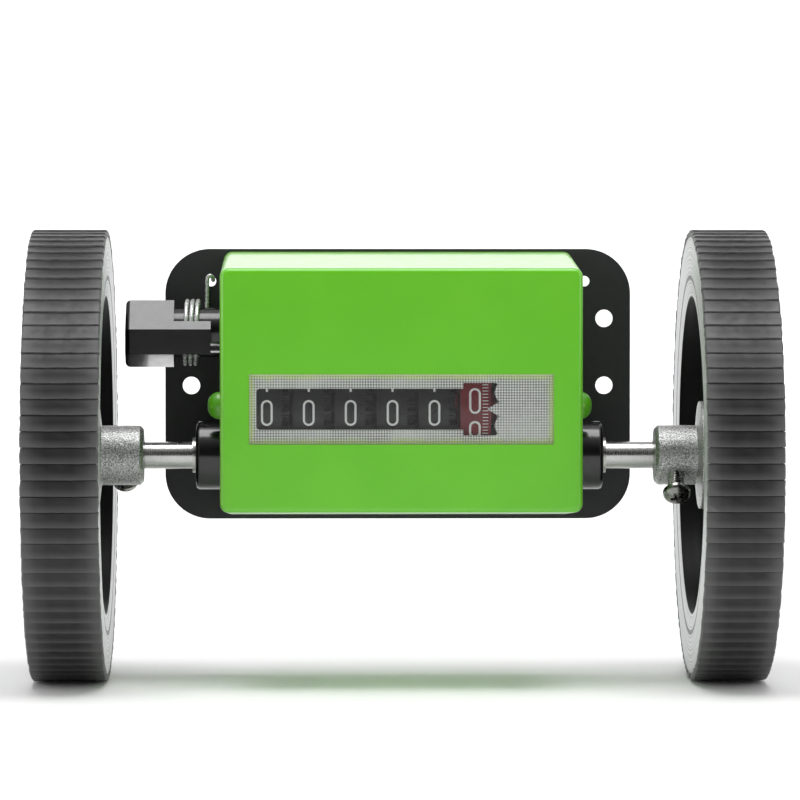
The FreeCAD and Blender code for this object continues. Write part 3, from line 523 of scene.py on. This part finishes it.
def make_hub(side, sign, material):
    """Cast hub: neck, slightly conical flange and the stub on the far side of the web."""
    near, far = sorted(abs(x) for x in span(f"{side}_hub", "x"))
    flange = span(f"{side}_hub", "z")[1]
    face = near + FLANGE_FACE
    back = near + FLANGE_BACK
    corners = [
        (near, AXLE_RADIUS, 0), (far, AXLE_RADIUS, 0), (far, NECK_RADIUS, 0.6),
        (back, NECK_RADIUS, 0), (back, flange, 0), (face + FLANGE_CONE, flange, 0.3),
        (face, NECK_RADIUS, 0.3), (near + NECK_CHAMFER, NECK_RADIUS, 0.25),
        (near, NECK_RADIUS - NECK_CHAMFER, 0.2)]
    piece = turned(f"{side}_cast_hub", mirrored(sign, corners), steps=96)
    finish_piece(piece, material, "axle", [f"{side}_hub"])


# ------------------------------------------------------------------ set screws

THREAD_RADIUS = 1.98
THREAD_DEPTH = 0.34
THREAD_PITCH = 0.7
THREAD_START = 3.25
ROWS_PER_PITCH = 6
HEAD_START = 11.5
HEAD_HEIGHT = 2.4
HEAD_EDGE = 0.25
HEAD_RIM = 0.75
RECESS_DEPTH = 1.3
RECESS_TURN = 20


def oriented(points, foot, heading):
    """Move points made along +Z so that they run from foot along heading."""
    turn = Vector((0, 0, 1)).rotation_difference(heading).to_matrix()
    return [turn @ Vector(point) + foot for point in points]


def thread_points(start, end, around):
    """Points of a screw thread about Z, with closed flat ends."""
    rows = int((end - start) / THREAD_PITCH * ROWS_PER_PITCH)
    points = [(0, 0, start)] * around
    for i in range(rows + 1):
        height = start + (end - start) * i / rows
        for j in range(around):
            phase = (height / THREAD_PITCH - j / around) % 1.0
            radius = THREAD_RADIUS - THREAD_DEPTH * abs(2 * phase - 1)
            angle = 2 * math.pi * j / around
            points.append((radius * math.cos(angle), radius * math.sin(angle), height))
    points += [(0, 0, end)] * around
    return points, rows + 3


def cross_recess(head_top, foot, heading):
    """Cutters for a cross recess: two blades that narrow towards the bottom."""
    bottom = (head_top - RECESS_DEPTH, 0.9, 0.3)
    top = (head_top + 1.0, 2.3, 0.55)
    cutters = []
    for turn in (0, 90):
        twist = Matrix.Rotation(math.radians(turn + RECESS_TURN), 3, "Z")
        points = []
        for height, half_length, half_width in (bottom, top):
            for x, y in ((-1, -1), (1, -1), (1, 1), (-1, 1)):
                points.append(twist @ Vector((x * half_length, y * half_width, height)))
        cutters.append(new_object("recess_blade", oriented(points, foot, heading), BOX_FACES))
    return cutters


def cut_away(piece, cutters):
    """Cut other objects out of a piece, and remove them."""
    for cutter in cutters:
        boolean = piece.modifiers.new("cut", "BOOLEAN")
        boolean.operation = "DIFFERENCE"
        boolean.solver = "EXACT"
        boolean.object = cutter
    graph = bpy.context.evaluated_depsgraph_get()
    piece.data = bpy.data.meshes.new_from_object(piece.evaluated_get(graph))
    piece.modifiers.clear()
    for cutter in cutters:
        bpy.data.objects.remove(cutter)


def make_set_screw(side, angle, material):
    """Round-head cross-recess screw, threaded down to the axle."""
    low, high = span(f"{side}_set_screw", "x")
    foot = Vector(((low + high) / 2, 0, 0))
    heading = Vector((0, math.cos(math.radians(angle)), math.sin(math.radians(angle))))
    head_radius = (high - low) / 2
    around = 32
    points, rows = thread_points(THREAD_START, HEAD_START + 0.1, around)
    faces = grid_faces(rows, around, False, True)
    thread = new_object(f"{side}_screw_thread", oriented(points, foot, heading), faces)
    drop_collapsed(thread)
    finish_piece(thread, material, "axle", sharp=25)
    outline = [(0, 0), (head_radius - HEAD_EDGE, 0), (head_radius, HEAD_EDGE),
               (head_radius, HEAD_RIM)]
    steps = 10
    for k in range(1, steps + 1):
        turn = math.pi / 2 * k / steps
        outline.append((head_radius * math.cos(turn),
                        HEAD_RIM + (HEAD_HEIGHT - HEAD_RIM) * math.sin(turn)))
    rows = 48
    points = []
    for i in range(rows):
        turn = 2 * math.pi * i / rows
        for radius, height in outline:
            points.append((radius * math.cos(turn), radius * math.sin(turn),
                           HEAD_START + height))
    faces = grid_faces(rows, len(outline), True, False)
    head = new_object(f"{side}_screw_head", oriented(points, foot, heading), faces)
    drop_collapsed(head)
    cut_away(head, cross_recess(HEAD_START + HEAD_HEIGHT, foot, heading))
    finish_piece(head, material, "axle", [f"{side}_set_screw"], 30)


# ------------------------------------------------------------------ counter digits

DIGIT_HALF_WIDTH = 1.1
DIGIT_HALF_HEIGHT = 2.75
STROKE = 0.5
DEGREES_PER_DIGIT = 36
DRUM_RADIUS = 12.2
# How far the 0 at rest sits below the middle of the window
BLACK_DROP = 0.9
TENTHS_DROP = -1.9
TENTHS_DIGIT_X = 16.9
TICK_X = 19.3
TICK_HALF_LENGTH = 0.65
TICK_WIDTH = 0.16
TICKS = 100


def arc(across, up, radius, first, last, steps=12):
    """Points on an arc, between two angles in degrees."""
    points = []
    for k in range(steps + 1):
        angle = math.radians(first + (last - first) * k / steps)
        points.append((across + radius * math.cos(angle), up + radius * math.sin(angle)))
    return points


def digit_strokes(digit):
    """Centre lines of a plain stroke digit, as (closed, points) pairs."""
    w = DIGIT_HALF_WIDTH
    h = DIGIT_HALF_HEIGHT
    top = h - w
    if digit == 0:
        return [(True, arc(0, top, w, 0, 180) + arc(0, -top, w, 180, 360))]
    if digit == 1:
        return [(False, [(0, -h), (0, h)])]
    if digit == 2:
        return [(False, arc(0, top, w, 170, -30) + [(-w, -h), (w, -h)])]
    if digit == 3:
        return [(False, arc(0, top, w, 160, -80) + [(-0.2 * w, 0.1 * h)]),
                (False, [(-0.2 * w, 0.1 * h)] + arc(0, -top, w * 1.02, 75, -160))]
    if digit == 4:
        return [(False, [(0.45 * w, -h), (0.45 * w, h), (-w, -0.35 * h), (w, -0.35 * h)])]
    if digit == 5:
        return [(False, [(w, h), (-w, h), (-w, 0.15 * h)] + arc(0, -top, w, 90, -160))]
    if digit == 6:
        return [(True, arc(0, 0.1 * h - w * 0.4, w, 0, 180) + arc(0, -top, w, 180, 360)),
                (False, [(-w, -0.2 * h), (-w, top)] + arc(0, top, w, 180, 20))]
    if digit == 7:
        return [(False, [(-w, h), (w, h), (-0.3 * w, -h)])]
    if digit == 8:
        return [(True, arc(0, top, w, -60, 240) + [(-0.3 * w, 0.05 * h), (0.3 * w, 0.05 * h)]),
                (True, arc(0, -top, w, 120, 420))]
    return [(True, arc(0, top, w, 0, 180) + arc(0, w * 0.4 - 0.1 * h, w, 180, 360)),
            (False, [(w, 0.2 * h), (w, -top)] + arc(0, -top, w, 0, -160))]


def evened(line, closed, step=0.35):
    """The same line with points no further apart than step, so that it can follow a drum."""
    points = []
    last = len(line) if closed else len(line) - 1
    for i in range(last):
        start = Vector(line[i])
        end = Vector(line[(i + 1) % len(line)])
        parts = max(1, math.ceil((end - start).length / step))
        points += [start.lerp(end, k / parts) for k in range(parts)]
    if not closed:
        points.append(Vector(line[-1]))
    return points


def ribbon(line, closed, width):
    """Left and right edges of a stroke along a centre line."""
    edges = []
    count = len(line)
    for i, here in enumerate(line):
        before = line[i - 1] if closed or i > 0 else here
        after = line[(i + 1) % count] if closed or i < count - 1 else here
        run = Vector((after[0] - before[0], after[1] - before[1]))
        if run.length < 1e-6:
            run = Vector((0, 1))
        side = Vector((-run.y, run.x)).normalized() * width / 2
        edges.append((Vector(here) + side, Vector(here) - side))
    return edges


def wrap_strokes(name, strokes, drum, centre, lift=0.05, sink=0.12):
    """Raise strokes from a drum; a stroke is (closed, points, width, along X, turn)."""
    points = []
    faces = []
    for closed, line, width, along, turn in strokes:
        first = len(points)
        rows = ribbon(evened(line, closed), closed, width)
        for left, right in rows:
            for edge, radius in ((left, drum - sink), (left, drum + lift),
                                 (right, drum + lift), (right, drum - sink)):
                angle = math.radians(turn) - edge.y / drum
                points.append((along + edge.x, centre[0] - radius * math.cos(angle),
                               centre[1] - radius * math.sin(angle)))
        for face in grid_faces(len(rows), 4, closed, True):
            faces.append(tuple(first + i for i in face))
        if not closed:
            last = len(points) - 4
            faces.append((first, first + 1, first + 2, first + 3))
            faces.append((last, last + 1, last + 2, last + 3))
    return new_object(name, points, faces)


def make_digits(name, node, body, along, rest_drop, material, extra=()):
    """Ten digits round a number wheel; rest_drop is how far the 0 sits below the middle."""
    centre = joint_centre("tenths_spin")
    drum = (span(node, "z")[1] - span(node, "z")[0]) / 2
    strokes = []
    for digit in range(10):
        turn = math.degrees(rest_drop / drum) - DEGREES_PER_DIGIT * digit
        for closed, line in digit_strokes(digit):
            strokes.append((closed, line, STROKE, along, turn))
    strokes += extra
    piece = wrap_strokes(name, strokes, drum, centre)
    finish_piece(piece, material, body, sharp=50)


# ------------------------------------------------------------------ window

def pierced_sheet(name, outer, hole, front, thickness):
    """A flat sheet facing -Y with one opening; outlines are (across, up) points."""
    shape = bmesh.new()
    for outline in (outer, hole):
        corners = [shape.verts.new((x * MM, front * MM, z * MM)) for x, z in outline]
        for i, corner in enumerate(corners):
            shape.edges.new((corner, corners[(i + 1) % len(corners)]))
    bmesh.ops.triangle_fill(shape, use_beauty=True, edges=shape.edges[:])
    sheet = shape.faces[:]
    moved = bmesh.ops.extrude_face_region(shape, geom=sheet)["geom"]
    corners = [item for item in moved if isinstance(item, bmesh.types.BMVert)]
    bmesh.ops.translate(shape, verts=corners, vec=(0, thickness * MM, 0))
    bmesh.ops.recalc_face_normals(shape, faces=shape.faces)
    mesh = bpy.data.meshes.new(name)
    shape.to_mesh(mesh)
    shape.free()
    piece = bpy.data.objects.new(name, mesh)
    bpy.context.scene.collection.objects.link(piece)
    return piece


FILM_MARGIN = 1.8


def make_window_mask():
    """Silvered sheet behind the lens, with the slot for the digits and the pointer."""
    left, right = span("window_mask", "x")
    low, high = span("window_mask", "z")
    front, back = span("window_mask", "y")
    middle = (low + high) / 2
    outer = [(left, low), (right, low), (right, high), (left, high)]
    slot_half, tenths_half = 4.7, 6.0
    slot_left, slot_right, tenths_right = -33.2, 14.2, 22.1
    pointer_tip = 19.6
    pointer_half = 1.75
    bulge, bulge_top, bulge_height, bulge_steps = 0.75, 5.6, 3.6, 8
    corner = 0.8
    notch = [(tenths_right - 0.4, tenths_half)]
    for k in range(bulge_steps + 1):
        share = k / bulge_steps
        notch.append((tenths_right - bulge * math.sin(math.pi * share),
                      bulge_top - bulge_height * share))
    notch.append((tenths_right + 0.5, pointer_half))
    lower_notch = [(x, -z) for x, z in notch]
    quarter = [math.pi / 2 * k / 4 for k in range(5)]
    left_end = [(slot_left + corner * (1 - math.sin(a)), slot_half - corner * (1 - math.cos(a)))
                for a in quarter]
    left_end += [(x, -z) for x, z in reversed(left_end)]
    hole = ([(slot_right, tenths_half), (slot_right, slot_half)] + left_end
            + [(slot_right, -slot_half), (slot_right, -tenths_half)]
            + lower_notch + [(pointer_tip, 0)] + notch[::-1])
    hole = [(x, middle + z) for x, z in hole]
    piece = pierced_sheet("silver_mask", outer, hole, front, back - front)
    material = woven_silver(right - FILM_MARGIN, low + FILM_MARGIN, high - FILM_MARGIN)
    finish_piece(piece, material, "frame", ["window_mask"])


# ------------------------------------------------------------------ bearings and axle

def make_bearing_housing(side, sign, material):
    """Round black housing of the axle's bush, whose spigot sits in the side frame."""
    near, far = sorted(abs(x) for x in span(f"{side}_bearing_housing", "x"))
    bore, outer, spigot = 4.5, 8.1, 6.0
    shoulder = near + 2.0
    corners = [(near, bore, 0), (far, bore, 0.15), (far, outer, 1.1), (shoulder, outer, 0.2),
               (shoulder, spigot, 0), (near, spigot, 0.2)]
    piece = turned(f"{side}_housing", mirrored(sign, corners), steps=96)
    finish_piece(piece, material, "frame", [f"{side}_bearing_housing"])


def make_axle(material):
    """Ground axle with rounded ends."""
    low, high = span("axle_shaft", "x")
    radius = span("axle_shaft", "z")[1]
    corners = [(low, 0, 0), (high, 0, 0), (high, radius, 0.4), (low, radius, 0.4)]
    piece = turned("ground_axle", corners, steps=96)
    finish_piece(piece, material, "axle", ["axle_shaft"])


# ------------------------------------------------------------------ spring and carry lug

def wire_tube(name, line, radius, around=12):
    """A round wire along a line of points, with flat ends."""
    spine = [Vector(point) for point in line]
    across = Vector((1, 0, 0))
    points = []
    for i, here in enumerate(spine):
        ahead = spine[min(i + 1, len(spine) - 1)] - spine[max(i - 1, 0)]
        heading = ahead.normalized()
        across = (across - heading * across.dot(heading)).normalized()
        up = heading.cross(across)
        for k in range(around):
            angle = 2 * math.pi * k / around
            points.append(here + (across * math.cos(angle) + up * math.sin(angle)) * radius)
    points = [spine[0]] * around + points + [spine[-1]] * around
    piece = new_object(name, points, grid_faces(len(spine) + 2, around, False, True))
    drop_collapsed(piece)
    return piece


def smooth_line(corners, steps=8):
    """A curve through every corner, for wire bends."""
    line = []
    spots = [Vector(corner) for corner in corners]
    for i in range(len(spots) - 1):
        before = spots[max(i - 1, 0)]
        here = spots[i]
        after = spots[i + 1]
        later = spots[min(i + 2, len(spots) - 1)]
        for k in range(steps):
            s = k / steps
            line.append(0.5 * (2 * here + (after - before) * s
                               + (2 * before - 5 * here + 4 * after - later) * s**2
                               + (3 * here - before - 3 * after + later) * s**3))
    return line + [spots[-1]]


WIRE_RADIUS = 0.5
COIL_RADIUS = 7.45
COIL_PITCH = 1.27
COIL_TURNS = 2.75
COIL_STEPS = 48
FIRST_COIL_X = -50.6
LEG_X = -45.9


def make_return_spring(material):
    """Close coils round the knob's sleeve and a leg that hooks into the plate."""
    middle_y, middle_z = joint_centre("reset_turn")
    line = []
    for i in range(int(COIL_TURNS * COIL_STEPS) + 1):
        turn = i / COIL_STEPS
        angle = 2 * math.pi * (turn - 0.25)
        line.append((FIRST_COIL_X + COIL_PITCH * turn,
                     middle_y - COIL_RADIUS * math.cos(angle),
                     middle_z + COIL_RADIUS * math.sin(angle)))
    leg_y = middle_y + COIL_RADIUS
    eye = span("return_spring", "z")[1] - WIRE_RADIUS
    back = span("return_spring", "y")[1]
    line += smooth_line([
        (FIRST_COIL_X + COIL_PITCH * COIL_TURNS + 0.1, leg_y, middle_z + 0.8),
        (LEG_X + 0.2, leg_y, middle_z + 5.0),
        (LEG_X + 0.4, leg_y, eye - 0.6), (LEG_X + 0.55, leg_y - 0.1, eye + 0.8),
        (LEG_X + 1.1, leg_y, eye + 1.3), (LEG_X + 1.7, leg_y + 0.5, eye + 0.9),
        (LEG_X + 1.8, leg_y + 1.3, eye + 0.3), (LEG_X + 1.8, back, eye + 0.2)])
    piece = wire_tube("coil_spring", line, WIRE_RADIUS)
    finish_piece(piece, material, "frame", ["return_spring"], 50)


def make_carry_lug(material):
    """Red lug on the left of the tenths wheel, which turns the first transfer pinion."""
    middle_y, middle_z = joint_centre("tenths_spin")
    left = span(f"number_wheel_{BLACK_WHEELS}", "x")[1] + 0.1
    right = span("tenths_wheel", "x")[0] + 0.1
    drum = (span("tenths_wheel", "z")[1] - span("tenths_wheel", "z")[0]) / 2
    root = drum - 2.6
    tip = drum - 0.3
    points = []
    for x in (left, right):
        for radius, angle in ((root, 2), (tip, 4), (tip, 15), (root, 17)):
            turn = math.radians(angle)
            points.append((x, middle_y - radius * math.cos(turn),
                           middle_z + radius * math.sin(turn)))
    piece = new_object("carry_lug", points, BOX_FACES)
    finish_piece(piece, material, "tenths")


# ------------------------------------------------------------------ studio

def make_stage():
    """A pale floor that curves up into the backdrop."""
    gap = 0.0002
    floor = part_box("left_tyre")[0].z - gap
    half_width, front, back, height, bend = 6.0, -4.0, 2.4, 4.0, 1.0
    bend_steps = 16
    profile = [(front, floor)]
    for k in range(bend_steps + 1):
        angle = math.pi / 2 * k / bend_steps
        profile.append((back - bend + bend * math.sin(angle),
                        floor + bend - bend * math.cos(angle)))
    profile.append((back, height))
    points = []
    for y, z in profile:
        points += [(-half_width / MM, y / MM, z / MM), (half_width / MM, y / MM, z / MM)]
    sweep = new_object("sweep", points, grid_faces(len(profile), 2, False, False))
    for face in sweep.data.polygons:
        face.use_smooth = True
    finish = Finish("pale_sweep")
    colour = finish.mix(finish.noise(60), (0.93, 0.93, 0.93, 1), (0.95, 0.95, 0.95, 1))
    finish.set(Base_Color=colour, Roughness=0.9)
    sweep.data.materials.append(finish.material)


def add_light(name, place, target, size, power):
    """A rectangular lamp that faces its target."""
    light = bpy.data.lights.new(name, "AREA")
    light.shape = "RECTANGLE"
    light.size = size[0]
    light.size_y = size[1]
    light.energy = power
    lamp = bpy.data.objects.new(name, light)
    lamp.location = place
    lamp.rotation_euler = (Vector(target) - Vector(place)).to_track_quat("-Z", "Y").to_euler()
    bpy.context.scene.collection.objects.link(lamp)
    return lamp


TENT_RAMP = {"From Min": -0.9, "From Max": -0.35, "To Min": 0.05, "To Max": 0.75}


def make_light():
    """A light tent: white all round, darker where the camera stands."""
    world = bpy.data.worlds.new("light_tent")
    world.use_nodes = True
    bpy.context.scene.world = world
    tree = world.node_tree
    background = tree.nodes["Background"]
    place = tree.nodes.new("ShaderNodeTexCoord")
    split = tree.nodes.new("ShaderNodeSeparateXYZ")
    tree.links.new(place.outputs["Generated"], split.inputs[0])
    ramp = tree.nodes.new("ShaderNodeMapRange")
    for key, value in TENT_RAMP.items():
        ramp.inputs[key].default_value = value
    tree.links.new(split.outputs["Y"], ramp.inputs["Value"])
    tree.links.new(ramp.outputs[0], background.inputs["Strength"])
    background.inputs["Color"].default_value = (1, 1, 1, 1)
    add_light("overhead", (0, -0.15, 1.1), (0, 0, 0), (0.8, 0.6), 8)
    for side, sign in SIDES:
        add_light(f"{side}_panel", (1.1 * sign, -0.7, 0.3), (0, 0, 0), (0.5, 0.9), 3)
    make_knob_card()
    add_light("backdrop_light", (0, 1.0, 1.2), (0, 2.4, 0.3), (2.4, 0.6), 26)


def make_knob_card():
    """A low lamp that shows as a bright patch in the knob, and lights nothing else."""
    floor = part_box("left_tyre")[0].z
    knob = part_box("reset_knob")
    middle = (knob[0].x + knob[1].x) / 2
    ahead = knob[0].y - 0.01
    card = add_light("knob_card", (middle, ahead, floor + 0.004), (middle, ahead, 0),
                     (0.1, 0.08), 0.2)
    card.visible_camera = False
    card.visible_diffuse = False
    lit_by_card = bpy.data.collections.new("lit_by_card")
    lit_by_card.objects.link(frame["nodes"]["reset_knob"])
    card.light_linking.receiver_collection = lit_by_card


CAMERA_PLACE = (-0.019, -1.1, 0.041)
CAMERA_DOWN = 1.46
CAMERA_RIGHT = 1.0
FOCAL_LENGTH = 210.6


def make_camera():
    """Long lens, slightly left of centre and slightly above the axle."""
    lens = bpy.data.cameras.new("camera")
    lens.sensor_width = 36
    lens.lens = FOCAL_LENGTH
    lens.clip_end = 20
    camera = bpy.data.objects.new("camera", lens)
    camera.location = CAMERA_PLACE
    camera.rotation_euler = (math.radians(90 - CAMERA_DOWN), 0, math.radians(-CAMERA_RIGHT))
    bpy.context.scene.collection.objects.link(camera)
    bpy.context.scene.camera = camera


# ------------------------------------------------------------------ the object

gloss = black_gloss()
satin = black_satin()
paint_green = green_paint()
rubber = tyre_rubber()
# Lighter grey rubber for the bar edges: a painted highlight where the bars' edges catch the
# light.
bar_edge_highlight = plain_plastic("bar_edge_highlight_rubber", (30, 30, 31), (120, 120, 120), 0.6)
rim_metal = turned_and_painted_rim()
cast = sand_cast()
steel = ground_steel()
zinc = plated_steel("zinc_plate", (150, 150, 148), (205, 204, 200))
spring_wire = plated_steel("spring_wire", (205, 205, 205), (245, 245, 245), 0.55)
white_gear = plain_plastic("natural_acetal", (206, 204, 194), (226, 224, 214))
black_drum = plain_plastic("black_drum", (14, 14, 15), (30, 30, 31), 0.4)
red_drum = plain_plastic("red_drum", (128, 22, 38), (158, 30, 48), 0.35)
# The digits' white print also glows a little: painted light that brightens it.
glowing_digit_white = plain_plastic("glowing_digit_white", (236, 238, 238), (250, 251, 251), 0.4, 0.15)
brass = plated_steel("brass", (176, 140, 70), (214, 180, 104))
bronze = plated_steel("sintered_bronze", (130, 96, 56), (168, 128, 80))

for side, sign in SIDES:
    make_tyre(side, rubber, bar_edge_highlight)
    make_rim(side, sign, rim_metal)
    make_hub(side, sign, cast)
    make_bearing_housing(side, sign, gloss)
    paint(f"{side}_axle_bush", bronze)
    paint(f"{side}_retaining_ring", zinc)
    paint(f"{side}_side_frame", zinc)
screw_steel = plated_steel("screw_steel", (96, 96, 94), (178, 177, 174))
make_set_screw("right", 225, screw_steel)
make_set_screw("left", 330, screw_steel)
make_axle(steel)

paint("cover", paint_green)
paint("cover_screws", paint_green)
soften_edges(paint("base_plate", satin), 0.25)
soften_edges(paint("reset_knob", gloss), 0.35)
paint("window_lens", clear_plastic())
make_window_mask()
paint("frame_rivets", zinc)
make_return_spring(spring_wire)
make_carry_lug(red_drum)
paint("drive_gear", brass)
paint("tenths_wheel", red_drum)
for node in ("idler_gear", "counter_gear"):
    paint(node, white_gear)
for node in ("idler_stud", "counter_shaft", "pinion_shaft", "reset_shaft"):
    paint(node, steel)
paint("reset_comb", zinc)
for number in range(1, BLACK_WHEELS + 1):
    wheel = f"number_wheel_{number}"
    paint(wheel, black_drum)
    paint(f"transfer_pinion_{number}", white_gear)
    low, high = span(wheel, "x")
    middle = (low + high) / 2 - 0.1
    make_digits(f"digits_{number}", wheel, f"wheel_{number}", middle, BLACK_DROP, glowing_digit_white)

ticks = []
tick_line = [(-TICK_HALF_LENGTH, 0), (TICK_HALF_LENGTH, 0)]
for tick in range(TICKS):
    turn = math.degrees(TENTHS_DROP / DRUM_RADIUS) - 360 / TICKS * tick
    ticks.append((False, tick_line, TICK_WIDTH, TICK_X, turn))
make_digits("digits_tenths", "tenths_wheel", "tenths", TENTHS_DIGIT_X, TENTHS_DROP, glowing_digit_white,
            ticks)

make_stage()
make_light()
make_camera()
bpy.context.scene.view_settings.view_transform = "Standard"
